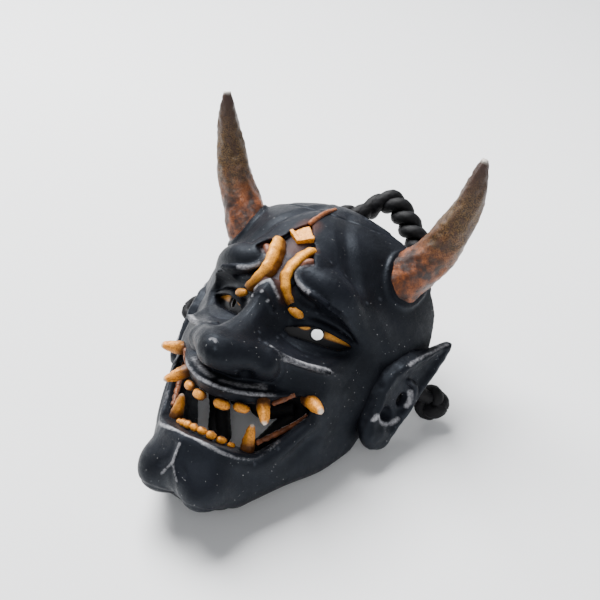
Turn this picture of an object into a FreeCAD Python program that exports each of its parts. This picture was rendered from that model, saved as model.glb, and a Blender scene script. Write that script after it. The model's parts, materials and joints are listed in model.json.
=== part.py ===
import FreeCAD, Part
import math
import os

# Small horned noh display mask, leaning back on a table. Millimetres.
#
# Every piece is modelled upright in the mask's own frame: +X is the viewer's right when facing the
# mask, -Y is the way the face looks and +Z is the crown. The whole object is then tilted back and
# lifted, so that the chin and the two cord knots stand on the table at Z = 0.

# Driving dimensions.
LEAN_DEG = 43.0          # how far the face tilts back from upright
TABLE_LIFT = 32.69       # height of the mask frame's origin above the table
TABLE_SHIFT = -9.90      # brings the middle of the whole object's depth to Y = 0
WALL = 3.4               # thickness of the cast shell
RIM_Y = 30.0             # flat back rim
GLUE_GAP = 0.06          # space left for glue around every seated piece
CORD_R = 2.0             # braided cord, 4 mm across
CORD_HOLE_R = 2.3        # side holes that the cord runs through
CORD_HOLE_Y = 26.0
CORD_HOLE_Z = 14.0
KNOT_R = 4.8             # stopper knot
KNOT_CENTRE = (40.0, 38.0, -2.41)
EYE_CENTRE = (13.4, 6.0) # middle of the eye opening: x, z
PUPIL_R = 1.9
EAR_SLOPE = (0.9, 0.436) # the ear runs outwards and back at 26 degrees
EAR_THICK = 3.0
EAR_HOLE_R = 1.0
TOOTH_DEPTH = 1.3        # front teeth, half of front to back
TOOTH_HEIGHT = 1.9       # front teeth, half of top to bottom
TEETH_PER_ROW = 6
PLATE = (6.4, 2.4, 4.8)  # gilt plate on the forehead: width, depth, height
STRAND_GAP = 0.2         # between the two strands of the cord's arch

# Horizontal sections of the head: height, foremost y, half width, and y where the side turns straight.
HEAD_ROWS = (
    (41.3, 16.5, 11.0, 28.0),
    (38.0, 10.0, 21.5, 28.0),
    (31.0, 6.0, 31.5, 28.0),
    (21.0, -0.8, 36.0, 28.0),
    (10.0, -4.6, 37.2, 28.0),
    (-1.0, -7.0, 36.2, 28.0),
    (-11.0, -9.5, 33.0, 25.0),
    (-20.0, -12.5, 29.0, 18.0),
    (-29.0, -17.0, 22.5, 9.0),
    (-37.0, -15.0, 15.0, 4.0),
    (-43.3, -7.0, 7.0, 1.5),
)
SECTION_POWER = 1.45     # roundness of a section: 1 is a wedge, 2 is an ellipse
SECTION_STEPS = 7        # points on each half of a section
REAR_STRAIGHT = 9.0      # straight run behind the turning point, trimmed off by the rim


def vec(x, y, z):
    return FreeCAD.Vector(x, y, z)


def mirrored(shape):
    """The same piece on the other side of the face."""
    return shape.mirror(vec(0, 0, 0), vec(1, 0, 0))


def smooth_path(points):
    curve = Part.BSplineCurve()
    curve.interpolate([vec(*p) for p in points])
    return curve


def tapered_tube(points, radii, grow=0.0, steps=9):
    """A round bar along a smooth path, its radius changing evenly between the given values."""
    curve = smooth_path(points)
    first, last = curve.FirstParameter, curve.LastParameter
    rings = []
    for i in range(steps):
        part = i / (steps - 1)
        at = part * (len(radii) - 1)
        low = min(int(at), len(radii) - 2)
        radius = radii[low] + (radii[low + 1] - radii[low]) * (at - low)
        u = first + (last - first) * part
        circle = Part.makeCircle(radius + grow, curve.value(u), vec(*curve.tangent(u)[0]))
        rings.append(Part.Wire(circle))
    return Part.makeLoft(rings, True)


def ellipsoid(centre, radii, turn_deg=0.0, turn_axis=(0, 0, 1)):
    ball = Part.makeSphere(1.0)
    stretch = FreeCAD.Matrix()
    stretch.scale(*radii)
    ball = ball.transformGeometry(stretch)
    ball.rotate(vec(0, 0, 0), vec(*turn_axis), turn_deg)
    ball.translate(vec(*centre))
    return ball


def head_section(z, front, half_width, rear):
    """A closed D: rounded front, straight sides and a flat back."""
    depth = rear - front
    points = []
    for i in range(-SECTION_STEPS, SECTION_STEPS + 1):
        share = math.sin(0.5 * math.pi * i / SECTION_STEPS)
        reach = (1.0 - abs(share) ** SECTION_POWER) ** (1.0 / SECTION_POWER)
        points.append(vec(share * half_width, rear - depth * reach, z))
    curve = Part.BSplineCurve()
    curve.interpolate(points)
    back = rear + REAR_STRAIGHT
    corners = [points[-1], vec(half_width, back, z), vec(-half_width, back, z), points[0]]
    sides = [Part.makeLine(corners[i], corners[i + 1]) for i in range(3)]
    return Part.Wire([curve.toShape()] + sides)


def head_solid(inset=0.0):
    """The head without features; a positive inset gives the hollow inside it."""
    half_height = HEAD_ROWS[0][0]
    wires = []
    for z, front, half_width, rear in HEAD_ROWS:
        height = z * (1.0 - inset / half_height)
        wires.append(head_section(height, front + inset, half_width - inset, rear))
    return Part.makeLoft(wires, True)


def behind_rim():
    """Everything behind the flat back rim and the rising jaw line."""
    jaw_line = ((RIM_Y, -4), (11.5, -19), (7.6, -30), (0.6, -43.6))
    outline = ((RIM_Y, 60),) + jaw_line + ((0.6, -60), (70, -60), (70, 60))
    corners = [vec(-60, y, z) for y, z in outline]
    face = Part.Face(Part.makePolygon(corners + corners[:1]))
    return face.extrude(vec(120, 0, 0))


# ---------------------------------------------------------------- features of the face

def brow_lobe():
    path = ((5.2, 1.6, 21.4), (11.0, 1.4, 18.0), (18.0, 3.6, 14.6), (25.0, 9.0, 12.0), (30.4, 15.0, 9.0))
    return tapered_tube(path, (2.4, 4.4, 4.4, 3.8, 2.0))


def cheek():
    return ellipsoid((17.5, 6.0, -4.8), (11.0, 9.0, 6.4), 32, (0, 0, 1))


def nose():
    bridge = tapered_tube(
        ((0, 2.0, 16.0), (0, -2.4, 10.0), (0, -8.0, 4.0), (0, -13.6, -1.0), (0, -14.6, -4.0)),
        (3.0, 4.4, 5.2, 6.0, 5.0),
    )
    tip = ellipsoid((0, -15.0, -3.4), (6.4, 6.2, 4.8))
    wing = ellipsoid((7.0, -8.8, -4.2), (4.0, 5.4, 4.0))
    return [bridge, tip, wing, mirrored(wing)]


def upper_lip():
    half = ((19.5, 2.5, -10.5), (13.0, -5.0, -10.5), (6.0, -10.6, -11.5))
    path = half + ((0.0, -12.8, -12.0),) + tuple((-x, y, z) for x, y, z in half[::-1])
    return tapered_tube(path, (1.8, 3.0, 3.6, 3.0, 1.8), steps=13)


def muzzle():
    return ellipsoid((0.0, -1.0, -8.0), (17.0, 9.6, 7.5))


def lower_lip():
    half = ((20.5, 3.0, -15.5), (17.6, -2.0, -23.0), (13.2, -5.8, -27.4), (7.0, -12.4, -28.2))
    path = half + ((0.0, -17.4, -28.0),) + tuple((-x, y, z) for x, y, z in half[::-1])
    return tapered_tube(path, (1.6, 2.3, 2.3, 2.3, 1.6), steps=15)


def chin_lobe():
    return ellipsoid((7.4, -9.4, -35.4), (8.0, 10.6, 7.4), 30, (1, 0, 0))


def horn_boss():
    """Extra thickness inside the shell for the root of a horn."""
    return ellipsoid((24.0, 21.5, 24.0), (9.5, 8.5, 9.5))


def eye_boss():
    """Extra thickness inside the shell around an eye."""
    x, z = EYE_CENTRE
    return ellipsoid((x + 0.8, 7.6, z), (10.5, 6.0, 6.6), 22, (0, 0, 1))


def mouth_opening():
    """A wide grin, cut straight through from front to back."""
    upper = ((-19.6, -13.6), (-13.5, -15.2), (-7.0, -17.0), (0.0, -17.8), (7.0, -17.0), (13.5, -15.2),
             (19.6, -13.6))
    lower = ((19.6, -13.6), (16.8, -20.0), (12.2, -25.4), (0.0, -26.2), (-12.2, -25.4), (-16.8, -20.0),
             (-19.6, -13.6))
    edges = [smooth_path([(x, -60, z) for x, z in side]).toShape() for side in (upper, lower)]
    return Part.Face(Part.Wire(edges)).extrude(vec(0, 110, 0))


def eye_prism(grow=0.0):
    """The almond outline of one eye opening, drawn out from front to back."""
    x, z = EYE_CENTRE
    inner = (x - 6.8 - grow, z - 1.4)
    outer = (x + 7.6 + grow, z - 0.2)
    top = smooth_path([(inner[0], -30, inner[1]), (x - 1.0, -30, z + 2.7 + grow), (outer[0], -30, outer[1])])
    low = smooth_path([(outer[0], -30, outer[1]), (x + 1.0, -30, z - 2.6 - grow), (inner[0], -30, inner[1])])
    return Part.Face(Part.Wire([top.toShape(), low.toShape()])).extrude(vec(0, 70, 0))


def eye_socket():
    x, z = EYE_CENTRE
    return ellipsoid((x + 0.6, -1.8, z - 0.2), (9.0, 5.6, 4.6), 22, (0, 0, 1))


def eye_shell():
    """A thin curved gilt eye white with the pupil drilled through it."""
    x, z = EYE_CENTRE
    centre = vec(x - 1.0, 15.6, z)
    ball = Part.makeSphere(11.6, centre).cut(Part.makeSphere(9.8, centre))
    front_half = Part.makeBox(40, 40, 40, vec(x - 20, centre.y - 41.0, z - 20))
    pupil = Part.makeCylinder(PUPIL_R, 40, vec(x - 0.6, -20, z), vec(0, 1, 0))
    return ball.common(eye_prism(-GLUE_GAP)).common(front_half).cut(pupil)


# ---------------------------------------------------------------- horns, ears and teeth

def horn(grow=0.0):
    """A blunt horn that bows outwards, with its root sunk into the head."""
    path = ((21.5, 23.0, 21.0), (25.2, 22.0, 28.0), (30.8, 20.5, 36.2), (35.0, 16.8, 45.0),
            (37.4, 12.4, 53.5), (38.3, 7.9, 60.6))
    return tapered_tube(path, (5.2, 6.2, 5.5, 4.4, 2.9, 0.9), grow, steps=11)


def ear_plane_point(across, up):
    """A point in the plane of the right ear: across from its front edge, up from eye level."""
    return vec(31.2 + EAR_SLOPE[0] * across, 18.4 + EAR_SLOPE[1] * across, up)


def ear():
    """A pointed ear standing out from the head, with a hollow bowl and a drilled hole."""
    front = [(2.6, -17.0), (0.8, -12.0), (0.0, -4.0), (1.6, 3.0), (6.5, 9.5), (12.5, 16.0)]
    rear = [(12.5, 16.0), (12.8, 9.0), (10.8, 2.0), (8.6, -5.0), (5.8, -13.0), (2.6, -17.0)]
    edges = []
    for side in (front, rear):
        curve = Part.BSplineCurve()
        curve.interpolate([ear_plane_point(a, u) for a, u in side])
        edges.append(curve.toShape())
    normal = vec(-EAR_SLOPE[1], EAR_SLOPE[0], 0.0)
    leaf = Part.Face(Part.Wire(edges)).extrude(normal * EAR_THICK)
    leaf.translate(normal * (-0.5 * EAR_THICK))
    bowl = ellipsoid(tuple(ear_plane_point(5.2, -4.0) - normal * 2.4), (3.0, 2.4, 6.0), 0)
    groove = ellipsoid(tuple(ear_plane_point(8.6, 7.0) - normal * 2.2), (2.0, 1.6, 6.0), -18, (0, 1, 0))
    hole = Part.makeCylinder(EAR_HOLE_R, 12, ear_plane_point(5.6, -3.5) - normal * 6, normal)
    return leaf.cut(bowl).cut(groove).cut(hole)


def fang(base, tip, radius, grow=0.0):
    """A pointed tooth with a root sunk behind its base."""
    a, b = vec(*base), vec(*tip)
    along = (b - a).normalize()
    root = a - along * (radius * 1.3)
    middle = a + (b - a) * 0.5
    points = [tuple(p) for p in (root, a, middle, b)]
    return tapered_tube(points, (radius * 0.85, radius, radius * 0.8, radius * 0.28), grow, steps=7)


def upper_fang(grow=0.0):
    return fang((11.6, -7.9, -14.0), (14.8, -11.0, -17.6), 1.75, grow)


def lower_fang(grow=0.0):
    return fang((10.8, -6.2, -25.6), (10.5, -7.6, -19.4), 1.8, grow)


def corner_tusk(grow=0.0):
    return fang((18.6, 1.4, -10.6), (24.2, -2.2, -11.2), 1.9, grow)


def incisor_row(z, bulge_y, drop, count, half_span, grow=0.0):
    """A row of small round front teeth along the curve of a gum."""
    teeth = []
    for i in range(count):
        share = (i + 0.5) / count * 2.0 - 1.0
        x = share * half_span
        y = bulge_y + 3.6 * share * share
        centre = (x, y, z + drop * share * share)
        half_width = half_span / count - GLUE_GAP
        teeth.append(ellipsoid(centre, (half_width + grow, TOOTH_DEPTH + grow, TOOTH_HEIGHT + grow)))
    return teeth


def upper_incisors(grow=0.0):
    return incisor_row(-17.8, -12.9, 1.6, TEETH_PER_ROW, 9.4, grow)


def lower_incisors(grow=0.0):
    return incisor_row(-25.0, -13.0, -0.8, TEETH_PER_ROW, 6.6, grow)


def upper_side_teeth(grow=0.0):
    path = ((12.9, -4.6, -15.6), (15.4, -2.0, -15.0), (17.8, 1.2, -14.4))
    return tapered_tube(path, (0.9, 1.0, 0.7), grow, steps=5)


def lower_side_teeth(grow=0.0):
    path = ((13.8, -4.0, -24.2), (16.0, -1.6, -21.6), (18.2, 1.2, -18.4))
    return tapered_tube(path, (0.9, 1.0, 0.7), grow, steps=5)


# ---------------------------------------------------------------- gilt relief on the forehead

def forehead_scroll(grow=0.0):
    path = ((5.0, 3.6, 26.2), (3.0, 1.0, 22.8), (1.9, -1.0, 18.8), (3.0, -2.4, 14.8), (5.9, -2.4, 11.2))
    return tapered_tube(path, (1.4, 1.7, 1.7, 1.5, 0.7), grow)


def forehead_plate(grow=0.0):
    width, depth, height = PLATE
    corner = vec(-0.5 * width - grow, -0.5 * depth - grow, -0.5 * height - grow)
    box = Part.makeBox(width + 2 * grow, depth + grow, height + 2 * grow, corner)
    box.rotate(vec(0, 0, 0), vec(1, 0, 0), -35)
    box.translate(vec(0, 5.4, 29.0))
    return box


def crown_seam(grow=0.0):
    path = ((0, 7.4, 33.6), (0, 10.2, 37.0), (0, 15.0, 39.9), (0, 20.0, 41.0))
    return tapered_tube(path, (0.75, 0.75, 0.7, 0.5), grow, steps=6)


def brow_curl(grow=0.0):
    path = ((5.9, 2.8, 24.4), (7.3, 1.2, 22.4), (6.9, 0.4, 20.4))
    return tapered_tube(path, (0.5, 0.9, 0.6), grow, steps=5)


def tear_bead(grow=0.0):
    return ellipsoid((7.9, -0.6, 8.6), (1.3 + grow, 1.2 + grow, 1.2 + grow))


# ---------------------------------------------------------------- hanging cord

def stopper_knot():
    return ellipsoid(KNOT_CENTRE, (KNOT_R, KNOT_R, KNOT_R * 1.08))


def cord_lead():
    """From just inside the shell, out through the side hole and down behind the ear to the knot."""
    y, z = CORD_HOLE_Y, CORD_HOLE_Z
    path = ((30.6, y, z), (33.0, y, z), (35.4, y, z), (37.8, y, z), (40.4, y + 1.4, z - 1.0),
            (41.8, y + 5.0, z - 3.8), (41.2, y + 8.6, z - 7.6),
            (40.6, KNOT_CENTRE[1] - 1.8, KNOT_CENTRE[2] + KNOT_R + 1.8))
    return tapered_tube(path, (CORD_R, CORD_R), steps=15)


def cord_tail():
    """The loose end of the cord, hanging inside the shell and touching down behind the chin."""
    path = ((29.0, 22.5, 8.6), (27.6, 20.5, 2.0), (23.5, 18.0, -9.0), (17.5, 16.0, -19.0),
            (11.5, 15.0, -24.6), (6.0, 17.5, -23.4))
    return tapered_tube(path, (CORD_R, CORD_R), steps=13)


def cord_strand(behind):
    """One of the two strands that arch over behind the crown, set back from their middle line."""
    y, z = CORD_HOLE_Y + behind, CORD_HOLE_Z
    half = [(29.4, y + 7.6, z + 3.6), (29.6, y + 9.2, z + 11.0), (26.4, y + 9.2, z + 19.4),
            (20.0, y + 8.6, z + 27.4), (10.6, y + 8.0, z + 32.6), (0.0, y + 8.0, z + 34.2)]
    other_half = [(-px, py, pz) for px, py, pz in half[:-1]]
    return tapered_tube(half + other_half[::-1], (CORD_R, CORD_R), steps=25)


# ---------------------------------------------------------------- the cast shell

def cut_all(solid, tools):
    for tool in tools:
        solid = solid.cut(tool)
    return solid


def largest_solid(shape):
    """The shell itself, without any sliver that a cut has freed."""
    return max(shape.Solids, key=lambda solid: solid.Volume)


def mask_shell(pockets):
    """The hollow casting with its openings, and a pocket for every piece that is glued into it."""
    lobes = [brow_lobe(), cheek(), chin_lobe()]
    lobes += [mirrored(lobe) for lobe in lobes] + nose() + [muzzle(), upper_lip(), lower_lip()]
    solid = head_solid().multiFuse(lobes)
    bosses = [horn_boss(), eye_boss()]
    hollow = cut_all(head_solid(WALL), bosses + [mirrored(boss) for boss in bosses])
    solid = cut_all(solid, [hollow, behind_rim(), mouth_opening()])
    hole = Part.makeCylinder(CORD_HOLE_R, 20, vec(25, CORD_HOLE_Y, CORD_HOLE_Z), vec(1, 0, 0))
    sides = [eye_prism(), eye_socket(), hole]
    solid = cut_all(solid, sides + [mirrored(side) for side in sides])
    return largest_solid(cut_all(solid, pockets))


# Pieces that come in pairs, written for the viewer's right, and pieces on the middle line. Each is a
# function of how much to grow it, so that the same function cuts its own pocket.
SEATED_PAIRS = {
    "horn": horn,
    "upper_fang": upper_fang,
    "lower_fang": lower_fang,
    "corner_tusk": corner_tusk,
    "upper_side_teeth": upper_side_teeth,
    "lower_side_teeth": lower_side_teeth,
    "forehead_scroll": forehead_scroll,
    "brow_curl": brow_curl,
    "tear_bead": tear_bead,
}
SEATED_MIDDLE = {
    "forehead_plate": forehead_plate,
    "crown_seam": crown_seam,
}
SEATED_ROWS = {
    "upper_incisors": upper_incisors,
    "lower_incisors": lower_incisors,
}
FREE_PAIRS = {
    "ear": ear,
    "eye": eye_shell,
    "stopper_knot": stopper_knot,
    "cord_lead": cord_lead,
    "cord_tail": cord_tail,
}


def place(shape):
    """From the upright mask frame to the leaning object on its table."""
    moved = shape.copy()
    moved.rotate(vec(0, 0, 0), vec(1, 0, 0), -LEAN_DEG)
    moved.translate(vec(0, TABLE_SHIFT, TABLE_LIFT))
    return moved


def main():
    nodes = {}
    pockets = []
    for name, make in SEATED_PAIRS.items():
        nodes[name + "_right"] = make()
        nodes[name + "_left"] = mirrored(make())
        pockets += [make(GLUE_GAP), mirrored(make(GLUE_GAP))]
    for name, make in SEATED_MIDDLE.items():
        nodes[name] = make()
        pockets.append(make(GLUE_GAP))
    for name, make in SEATED_ROWS.items():
        nodes[name] = Part.makeCompound(make())
        pockets += make(GLUE_GAP)
    for name, make in FREE_PAIRS.items():
        nodes[name + "_right"] = make()
        nodes[name + "_left"] = mirrored(make())
    nodes["cord_strand_front"] = cord_strand(-CORD_R - 0.5 * STRAND_GAP)
    nodes["cord_strand_rear"] = cord_strand(CORD_R + 0.5 * STRAND_GAP)
    nodes["mask_shell"] = mask_shell(pockets)
    for name in ("ear_right", "ear_left"):
        nodes[name] = largest_solid(nodes[name].cut(nodes["mask_shell"]))
    os.makedirs("parts", exist_ok=True)
    for name, shape in nodes.items():
        place(shape).exportStep("parts/" + name + ".step")
        print(name, shape.isValid(), len(shape.Solids), round(shape.Volume, 1))


main()
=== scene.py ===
import json
import math

import bpy
import numpy as np
import openvdb
from mathutils import Matrix, Vector
from mathutils.noise import noise_vector, seed_set


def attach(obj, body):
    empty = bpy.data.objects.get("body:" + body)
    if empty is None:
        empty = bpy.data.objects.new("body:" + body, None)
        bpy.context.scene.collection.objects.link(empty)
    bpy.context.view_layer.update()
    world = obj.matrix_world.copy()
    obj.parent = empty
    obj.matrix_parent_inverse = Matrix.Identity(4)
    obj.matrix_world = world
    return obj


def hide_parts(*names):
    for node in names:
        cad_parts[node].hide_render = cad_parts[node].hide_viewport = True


seed_set(1)  # without it the noise starts from the clock and differs in every run

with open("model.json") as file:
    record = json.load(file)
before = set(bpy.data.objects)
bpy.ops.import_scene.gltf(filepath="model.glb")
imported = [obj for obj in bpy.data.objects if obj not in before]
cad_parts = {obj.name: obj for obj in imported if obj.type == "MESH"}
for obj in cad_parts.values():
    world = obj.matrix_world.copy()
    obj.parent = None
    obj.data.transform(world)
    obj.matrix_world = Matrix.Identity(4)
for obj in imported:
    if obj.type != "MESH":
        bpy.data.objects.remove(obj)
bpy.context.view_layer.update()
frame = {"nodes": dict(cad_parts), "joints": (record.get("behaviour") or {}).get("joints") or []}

# ---- driving dimensions, in millimetres in the mask's own frame -----------------------------------
LEAN = math.radians(43.0)                # how far the mask leans back on its table
HINGE_Y, HINGE_Z = 26.0, 14.0            # the line that the cord's arch swings about
HOLE_Y, HOLE_Z, HOLE_R = 29.3, 0.5, 2.2  # where the cord comes out through the side, behind the ear
WALL = 3.4                               # thickness of the cast shell
CORD_R = 1.9                             # radius of the braided cord
TABLE_REACH = 32.4                       # from the mask's origin straight down to the table
TWISTS = 11.0                            # turns of the arch's two strands around each other
EAR_ROOT_Y = 18.4                        # where the ears are glued on
COARSE, FINE = 0.55, 0.42                # size of the face's sculpting grid, quick and final

# ---- sculpting kit -------------------------------------------------------------------------------
# The face is modelled in the mask's own frame, in millimetres: +X the viewer's right, +Y the back of
# the head, +Z the crown, with the origin behind the bridge of the nose. It is the same on both sides,
# so the clay covers only the half with X >= 0 and is mirrored at the end.


class Clay:
    """A solid held as distances to its surface, negative inside, on a regular grid."""

    def __init__(self, low, high, voxel):
        counts = [int(round((h - l) / voxel)) + 1 for l, h in zip(low, high)]
        self.voxel = voxel
        self.axes = [np.float32(l) + np.float32(voxel) * np.arange(n, dtype=np.float32)
                     for l, n in zip(low, counts)]
        self.value = np.full(counts, 30.0, np.float32)

    def window(self, low, high):
        """The part of the grid inside a box: its slices and its three coordinate arrays."""
        spans = []
        for axis, l, h in zip(self.axes, low, high):
            first = int(np.searchsorted(axis, l))
            last = int(np.searchsorted(axis, h, side="right"))
            spans.append(slice(first, last))
        x, y, z = [axis[span] for axis, span in zip(self.axes, spans)]
        return tuple(spans), x[:, None, None], y[None, :, None], z[None, None, :]

    def around(self, points, reach):
        """The part of the grid within reach of the given points."""
        points = np.array(points, np.float32)
        return self.window(points.min(0) - reach, points.max(0) + reach)

    def add(self, shape, soft):
        """Adds material, blending over a distance of soft."""
        span, distance = shape
        self.value[span] = smooth_union(self.value[span], distance, soft)

    def cut(self, shape, soft):
        """Removes material, rounding the edge over a distance of soft."""
        span, distance = shape
        self.value[span] = -smooth_union(-self.value[span], distance, soft)

    def keep(self, distance, soft):
        """Keeps only the material inside another shape that covers the whole grid."""
        self.value = -smooth_union(-self.value, -distance, soft)

    def crease(self, path, width, depth):
        """A sharp-bottomed groove along a path."""
        points = resample(path)
        span, x, y, z = self.around(points, width)
        distance = path_distance(x, y, z, points, None)
        self.value[span] += depth * np.clip(1.0 - distance / width, 0.0, 1.0) ** 1.5


def smooth_union(a, b, soft):
    """Two solids joined, with a fillet of about the given size between them."""
    if soft <= 0:
        return np.minimum(a, b)
    near = np.maximum(soft - np.abs(a - b), 0.0) / soft
    return np.minimum(a, b) - near * near * soft * 0.25


def resample(path, per_span=4):
    """Points along a smooth curve through the given ones; any fourth value, a radius, goes with them."""
    points = np.array(path, np.float32)
    if len(points) < 3:
        return points
    ends = np.vstack([2 * points[0] - points[1], points, 2 * points[-1] - points[-2]])
    out = []
    for i in range(1, len(ends) - 2):
        p0, p1, p2, p3 = ends[i - 1:i + 3]
        for t in np.arange(per_span) / per_span:
            out.append(0.5 * (2 * p1 + (p2 - p0) * t + (2 * p0 - 5 * p1 + 4 * p2 - p3) * t ** 2
                              + (3 * p1 - p0 - 3 * p2 + p3) * t ** 3))
    out.append(points[-1])
    return np.array(out, np.float32)


def path_distance(x, y, z, points, radii):
    """Distance from grid points to a chain of segments, less a radius that changes along it."""
    best = None
    for i in range(len(points) - 1):
        a, b = points[i][:3], points[i + 1][:3]
        step = b - a
        length = max(float(step @ step), 1e-9)
        t = ((x - a[0]) * step[0] + (y - a[1]) * step[1] + (z - a[2]) * step[2]) / length
        t = np.clip(t, 0.0, 1.0)
        distance = np.sqrt((x - a[0] - t * step[0]) ** 2 + (y - a[1] - t * step[1]) ** 2
                           + (z - a[2] - t * step[2]) ** 2)
        if radii is not None:
            distance = distance - (radii[i] + (radii[i + 1] - radii[i]) * t)
        best = distance if best is None else np.minimum(best, distance)
    return best


def tube(clay, path, soft=0.0):
    """A round bar along a path of (x, y, z, radius)."""
    points = resample(path)
    reach = points[:, 3].max() + soft + 1.0
    span, x, y, z = clay.around(points[:, :3], reach)
    return span, path_distance(x, y, z, points, points[:, 3])


def blob(clay, centre, radii, turn_z=0.0, turn_x=0.0, soft=0.0):
    """An ellipsoid, turned about Z and then about X."""
    centre = np.array(centre, np.float32)
    reach = max(radii) + soft + 1.0
    span, x, y, z = clay.window(centre - reach, centre + reach)
    x, y, z = x - centre[0], y - centre[1], z - centre[2]
    cx, sx = math.cos(math.radians(turn_x)), math.sin(math.radians(turn_x))
    y, z = y * cx + z * sx, z * cx - y * sx
    cz, sz = math.cos(math.radians(turn_z)), math.sin(math.radians(turn_z))
    x, y = x * cz + y * sz, y * cz - x * sz
    near = np.sqrt((x / radii[0]) ** 2 + (y / radii[1]) ** 2 + (z / radii[2]) ** 2)
    slope = np.sqrt((x / radii[0] ** 2) ** 2 + (y / radii[1] ** 2) ** 2 + (z / radii[2] ** 2) ** 2)
    return span, (near * (near - 1.0) / np.maximum(slope, 1e-6)).astype(np.float32)


# Horizontal sections of the bare head: height, foremost y, half width, y where the side turns straight.
HEAD_ROWS = (
    (-46.0, 0.0, 0.5, 1.0), (-44.5, -6.0, 6.0, 1.5), (-41.0, -10.0, 9.5, 3.0),
    (-37.0, -12.0, 13.2, 5.5), (-29.0, -12.5, 19.0, 11.0), (-20.0, -10.5, 25.5, 20.0),
    (-11.0, -8.0, 30.6, 27.0), (-1.0, -6.0, 34.2, 31.0), (10.0, -4.0, 35.6, 33.0),
    (21.0, -0.8, 34.4, 34.5), (26.0, 2.0, 32.6, 33.5), (31.0, 5.2, 29.6, 31.0), (34.5, 9.6, 25.6, 28.5),
    (37.5, 15.0, 20.0, 27.0), (40.0, 20.0, 13.0, 27.0), (41.4, 23.5, 7.0, 27.0),
    (42.2, 26.0, 1.0, 27.0),
)
HEAD_HALF_HEIGHT = 44.0
# How square each section is: heights, and the powers of the curve there.
SECTION_POWERS = ((-46.0, -30.0, -12.0, 8.0), (1.9, 1.8, 1.6, 1.42))


def hermite(t, start, end, start_rise, end_rise):
    """A smooth curve between two values, with its rise over the whole step given at each end."""
    level = (2 * t ** 3 - 3 * t ** 2 + 1) * start + (3 * t ** 2 - 2 * t ** 3) * end
    return level + (t ** 3 - 2 * t ** 2 + t) * start_rise + (t ** 3 - t ** 2) * end_rise


def head_rows_at(z, inset):
    """The bare head's foremost y, half width and rear y at each height, drawn in by the inset."""
    rows = np.array(HEAD_ROWS, np.float64)
    heights = rows[:, 0] * (1.0 - inset / HEAD_HALF_HEIGHT)
    i = np.clip(np.searchsorted(heights, z) - 1, 0, len(heights) - 2)
    step = heights[i + 1] - heights[i]
    t = np.clip((z - heights[i]) / step, 0.0, 1.0)
    found = []
    for column, shift in ((1, inset), (2, -inset), (3, 0.0)):
        values = rows[:, column] + shift
        slopes = np.gradient(values, heights)
        found.append(hermite(t, values[i], values[i + 1], step * slopes[i], step * slopes[i + 1]))
    return found


def head_distance(clay, inset=0.0):
    """The bare head, or with an inset the hollow inside it, as distances over the whole grid."""
    x, y, z = [axis.astype(np.float64) for axis in clay.axes]
    front, half_width, rear = head_rows_at(z, inset)
    half_width = np.maximum(half_width, 0.4)
    power = np.interp(z, *SECTION_POWERS)[None, None, :]
    across = (np.abs(x)[:, None, None] / half_width[None, None, :]) ** power
    depth = np.maximum(rear[None, :] - y[:, None], 0.0) / np.maximum(rear - front, 0.4)[None, :]
    level = (across + depth[None, :, :] ** power) ** (1.0 / power) - 1.0
    rows = np.array(HEAD_ROWS)
    top = rows[-1, 0] * (1.0 - inset / HEAD_HALF_HEIGHT)
    low = rows[0, 0] * (1.0 - inset / HEAD_HALF_HEIGHT)
    slope = np.sqrt(sum(g ** 2 for g in np.gradient(level, clay.voxel)))
    distance = level / np.maximum(slope, 0.012)
    beyond = np.maximum(z - top, low - z)[None, None, :]
    return np.maximum(distance, beyond).astype(np.float32)


# ---- the face ------------------------------------------------------------------------------------
# The back rim, seen from the side: heights from the chin to the crown, and the rim's y at each.
RIM_LINE = ((-46.0, -43.6, -38.0, -31.6, -25.0, -21.0, -15.0, -4.0, 22.0, 36.0),
            (0.6, 0.6, 6.0, 12.0, 16.0, 19.5, 24.0, 32.4, 32.4, 26.0))

# Lines that run across the right half of the face, each of (x, y, z), listed from the brow down to the
# gum. The skin of the face is a smooth surface through them.
BROW_EDGE = ((0, -2.4, 17.6), (2.5, -2.0, 17.8), (4.4, -1.2, 18.2), (5.6, -2.0, 18.6),
             (6.4, -2.6, 17.2), (8.2, -2.8, 15.8), (11.0, -2.9, 15.0), (14.0, -2.5, 14.2),
             (17.0, -1.0, 13.4), (19.2, 1.0, 12.4), (21.7, 7.0, 9.2), (24.0, 10.5, 7.4))
LID_CREASE = ((0, -6.0, 12.4), (2.4, -4.4, 12.4), (4.4, -1.6, 12.5), (6.2, 0.6, 12.2), (8.2, 1.8, 11.4),
              (11.0, 3.2, 10.8), (14.0, 5.2, 10.3), (17.0, 7.8, 9.7), (19.2, 9.6, 9.0),
              (21.7, 12.0, 7.6), (24.0, 12.6, 6.6))
UPPER_LID = ((0, -7.8, 8.0), (2.4, -6.4, 7.8), (4.4, -2.6, 7.4), (6.0, 0.0, 6.6), (7.0, 0.8, 6.6),
             (8.6, 1.3, 7.6), (11.0, 2.2, 8.5), (13.2, 3.3, 8.9), (16.4, 5.8, 8.6), (19.9, 9.4, 7.8),
             (21.7, 11.6, 6.9), (24.0, 12.2, 6.0))
LOWER_LID = ((0, -10.6, 4.6), (2.6, -9.2, 4.3), (4.6, -5.2, 4.0), (6.0, -1.4, 3.6), (7.0, -0.2, 3.3),
             (8.2, 0.5, 3.0), (12.2, 2.2, 3.0), (15.5, 4.3, 3.0), (19.1, 7.7, 3.3), (21.7, 10.6, 4.9),
             (24.0, 11.4, 4.6))
FOLD = ((0, -13.2, 2.6), (2.6, -11.8, 2.5), (4.8, -8.0, 2.4), (6.2, -4.2, 2.4), (8.3, -0.9, 2.0),
        (13.2, 0.9, 1.2), (17.5, 3.8, 1.6), (21.1, 8.6, 3.2), (24.0, 10.4, 3.2))
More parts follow.
